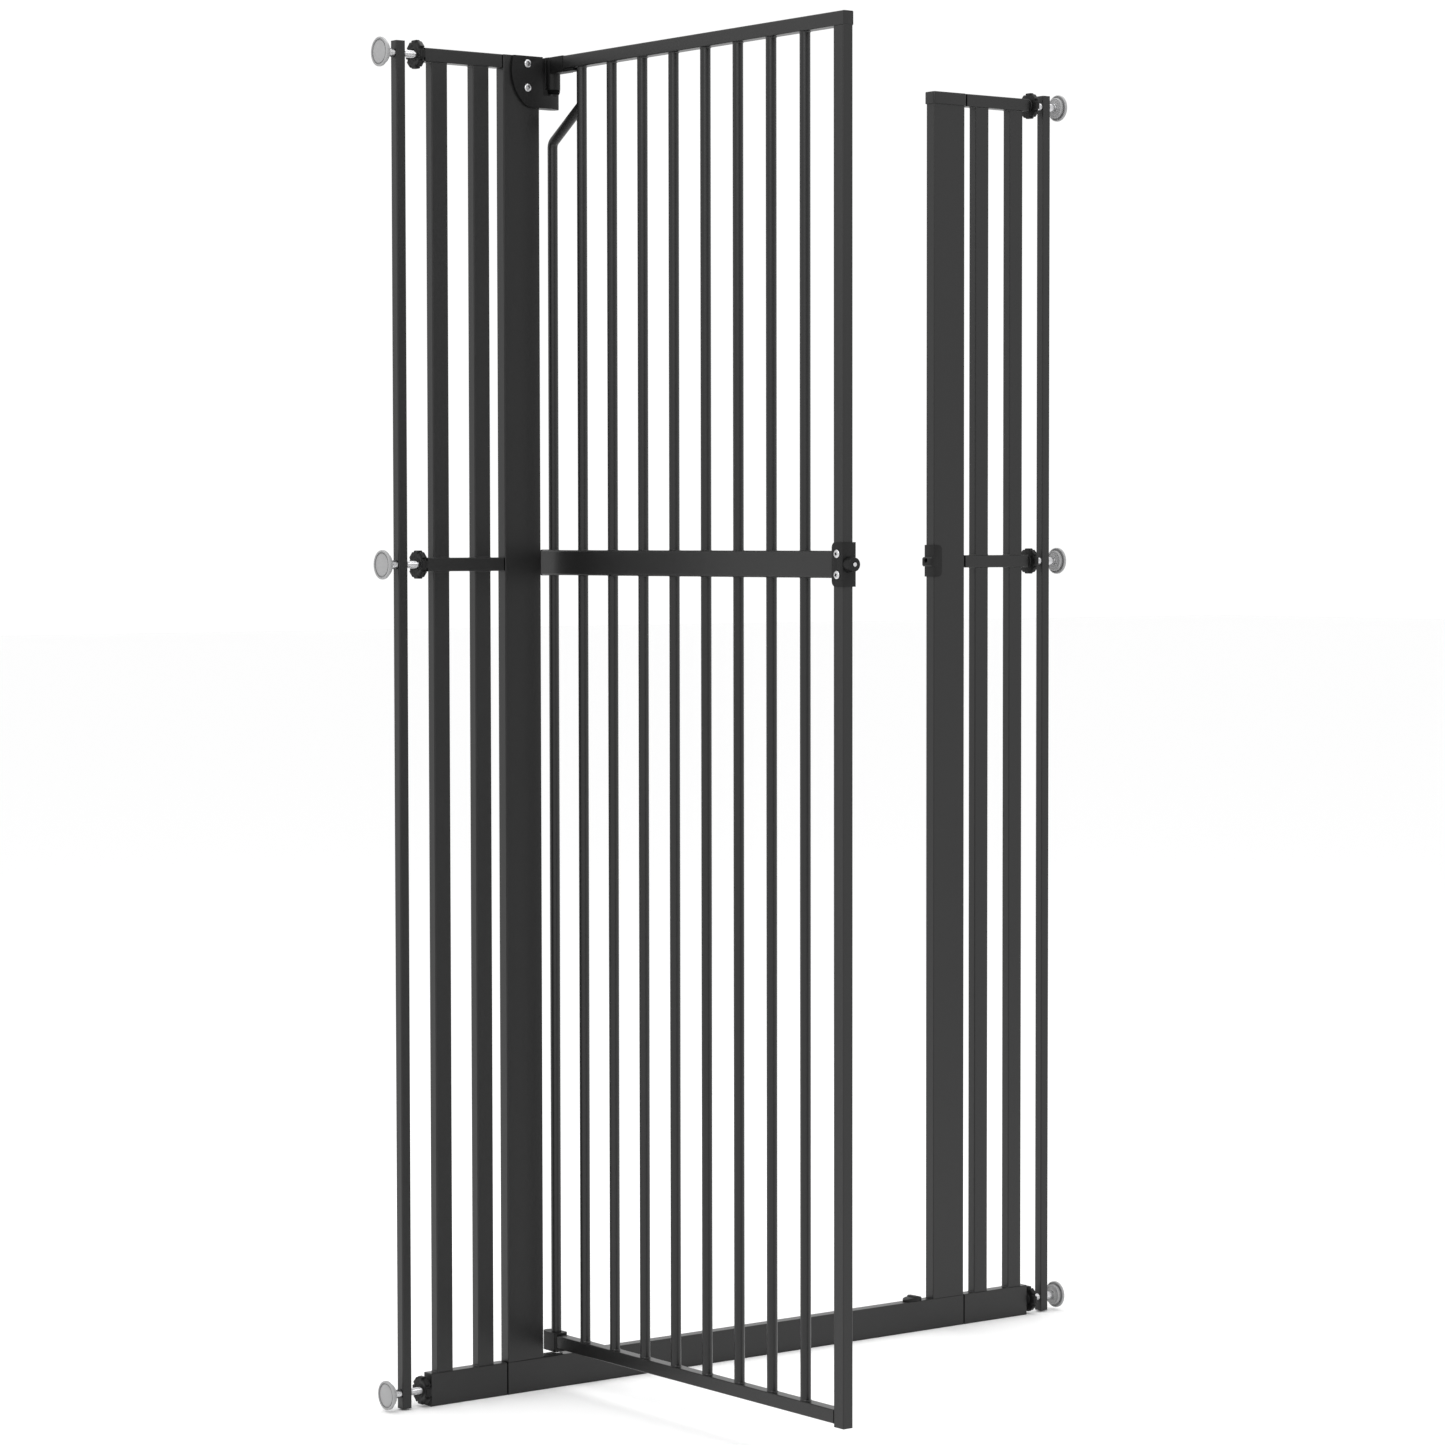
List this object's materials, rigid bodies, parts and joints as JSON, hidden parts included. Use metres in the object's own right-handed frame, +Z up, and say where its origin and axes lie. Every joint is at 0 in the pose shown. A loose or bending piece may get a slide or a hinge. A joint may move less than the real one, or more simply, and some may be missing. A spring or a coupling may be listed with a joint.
{
  "type": "pet gate",
  "caption": "Tall pressure-mounted pet gate with a swinging barred door, extension panels, star-knob wall clamps, wall bars and a sliding latch.",
  "frame": {"origin": "floor level under the middle of the main frame, on the centre plane of its tubes", "axes": "+X along the gate towards its latch side, +Y through the doorway away from the open door, +Z up"},
  "size_m": [1.192, 0.6673, 1.8103],
  "materials": {
    "black_coat": "semi-gloss charcoal powder coat on steel tube",
    "black_plastic": "fine matt moulded plastic",
    "bush_plastic": "natural moulded bush",
    "grey_plastic": "translucent grey moulded cup",
    "zinc_steel": "bright zinc plate"
  },
  "bodies": {
    "frame": {"bottom_hinge_pin": "zinc_steel", "bottom_hinge_plate": "black_plastic", "extension_joiners": "black_plastic", "extension_thread_plugs": "black_plastic", "latch_receiver": "black_plastic", "left_extension_bars": "black_coat", "left_extension_bottom_rail": "black_coat", "left_extension_middle_rail": "black_coat", "left_extension_top_rail": "black_coat", "left_post": "black_coat", "left_post_plug": "black_plastic", "right_extension_bars": "black_coat", "right_extension_bottom_rail": "black_coat", "right_extension_middle_rail": "black_coat", "right_extension_top_rail": "black_coat", "right_post": "black_coat", "right_post_cap": "black_coat", "stop_clip": "black_plastic", "threshold": "black_coat", "top_hinge_bracket": "black_plastic", "top_hinge_pin": "zinc_steel", "top_hinge_screws": "zinc_steel"},
    "lift_bush": {"hinge_bush": "bush_plastic"},
    "bolt": {"latch_bolt": "zinc_steel", "latch_thumb_slide": "black_plastic"},
    "door": {"door_bars": "black_coat", "door_bent_bar": "black_coat", "door_bottom_rail": "black_coat", "door_bottom_shoe": "black_plastic", "door_end_plugs": "black_coat", "door_end_post": "black_coat", "door_hinge_elbow": "black_plastic", "door_mid_strip": "black_coat", "door_mid_strip_cap": "black_plastic", "door_top_rail": "black_coat", "latch_housing": "black_plastic", "latch_housing_screws": "zinc_steel", "latch_barrel": "black_plastic"},
    "left_bar": {"left_wall_bar": "black_coat", "left_wall_bar_plugs": "black_plastic"},
    "left_top_adjuster": {"left_top_knob": "black_plastic"},
    "left_top_clamp": {"left_top_spindle": "zinc_steel", "left_top_wall_cup": "grey_plastic"},
    "left_middle_adjuster": {"left_middle_knob": "black_plastic"},
    "left_middle_clamp": {"left_middle_spindle": "zinc_steel", "left_middle_wall_cup": "grey_plastic"},
    "left_bottom_adjuster": {"left_bottom_knob": "black_plastic"},
    "left_bottom_clamp": {"left_bottom_spindle": "zinc_steel", "left_bottom_wall_cup": "grey_plastic"},
    "right_bar": {"right_wall_bar": "black_coat", "right_wall_bar_plugs": "black_plastic"},
    "right_top_adjuster": {"right_top_knob": "black_plastic"},
    "right_top_clamp": {"right_top_spindle": "zinc_steel", "right_top_wall_cup": "grey_plastic"},
    "right_middle_adjuster": {"right_middle_knob": "black_plastic"},
    "right_middle_clamp": {"right_middle_spindle": "zinc_steel", "right_middle_wall_cup": "grey_plastic"},
    "right_bottom_adjuster": {"right_bottom_knob": "black_plastic"},
    "right_bottom_clamp": {"right_bottom_spindle": "zinc_steel", "right_bottom_wall_cup": "grey_plastic"}
  },
  "joints": [
    {"name": "door_lift", "type": "slide", "parent": "frame", "child": "lift_bush", "axis": [0, 0, 1], "range_m": [0, 0.008]},
    {"name": "door_swing", "type": "hinge", "parent": "lift_bush", "child": "door", "pos_m": [-0.3195, 0, 0.9], "axis": [0, 0, 1], "range_deg": [0, 90]},
    {"name": "bolt_slide", "type": "slide", "parent": "door", "child": "bolt", "axis": [0, -1, 0], "range_m": [0, 0.018]},
    {"name": "left_wall_bar_slide", "type": "slide", "parent": "frame", "child": "left_bar", "axis": [1, 0, 0], "range_m": [0, 0.016]},
    {"name": "left_top_knob_turn", "type": "hinge", "parent": "frame", "child": "left_top_adjuster", "pos_m": [-0.534, 0, 1.791], "axis": [-1, 0, 0], "range_deg": [0, 4810]},
    {"name": "left_top_spindle_travel", "type": "slide", "parent": "frame", "child": "left_top_clamp", "axis": [-1, 0, 0], "range_m": [0, 0.02]},
    {"name": "left_middle_knob_turn", "type": "hinge", "parent": "frame", "child": "left_middle_adjuster", "pos_m": [-0.534, 0, 1.1216], "axis": [-1, 0, 0], "range_deg": [0, 4810]},
    {"name": "left_middle_spindle_travel", "type": "slide", "parent": "frame", "child": "left_middle_clamp", "axis": [-1, 0, 0], "range_m": [0, 0.02]},
    {"name": "left_bottom_knob_turn", "type": "hinge", "parent": "frame", "child": "left_bottom_adjuster", "pos_m": [-0.534, 0, 0.02225], "axis": [-1, 0, 0], "range_deg": [0, 4810]},
    {"name": "left_bottom_spindle_travel", "type": "slide", "parent": "frame", "child": "left_bottom_clamp", "axis": [-1, 0, 0], "range_m": [0, 0.02]},
    {"name": "right_wall_bar_slide", "type": "slide", "parent": "frame", "child": "right_bar", "axis": [-1, 0, 0], "range_m": [0, 0.016]},
    {"name": "right_top_knob_turn", "type": "hinge", "parent": "frame", "child": "right_top_adjuster", "pos_m": [0.534, 0, 1.791], "axis": [1, 0, 0], "range_deg": [0, 4810]},
    {"name": "right_top_spindle_travel", "type": "slide", "parent": "frame", "child": "right_top_clamp", "axis": [1, 0, 0], "range_m": [0, 0.02]},
    {"name": "right_middle_knob_turn", "type": "hinge", "parent": "frame", "child": "right_middle_adjuster", "pos_m": [0.534, 0, 1.1216], "axis": [1, 0, 0], "range_deg": [0, 4810]},
    {"name": "right_middle_spindle_travel", "type": "slide", "parent": "frame", "child": "right_middle_clamp", "axis": [1, 0, 0], "range_m": [0, 0.02]},
    {"name": "right_bottom_knob_turn", "type": "hinge", "parent": "frame", "child": "right_bottom_adjuster", "pos_m": [0.534, 0, 0.02225], "axis": [1, 0, 0], "range_deg": [0, 4810]},
    {"name": "right_bottom_spindle_travel", "type": "slide", "parent": "frame", "child": "right_bottom_clamp", "axis": [1, 0, 0], "range_m": [0, 0.02]}
  ],
  "couplings": [
    {"joint": "left_top_knob_turn", "follows": "left_top_spindle_travel", "rad_per_m": 4188.8},
    {"joint": "left_middle_knob_turn", "follows": "left_middle_spindle_travel", "rad_per_m": 4188.8},
    {"joint": "left_bottom_knob_turn", "follows": "left_bottom_spindle_travel", "rad_per_m": 4188.8},
    {"joint": "right_top_knob_turn", "follows": "right_top_spindle_travel", "rad_per_m": 4188.8},
    {"joint": "right_middle_knob_turn", "follows": "right_middle_spindle_travel", "rad_per_m": 4188.8},
    {"joint": "right_bottom_knob_turn", "follows": "right_bottom_spindle_travel", "rad_per_m": 4188.8}
  ]
}
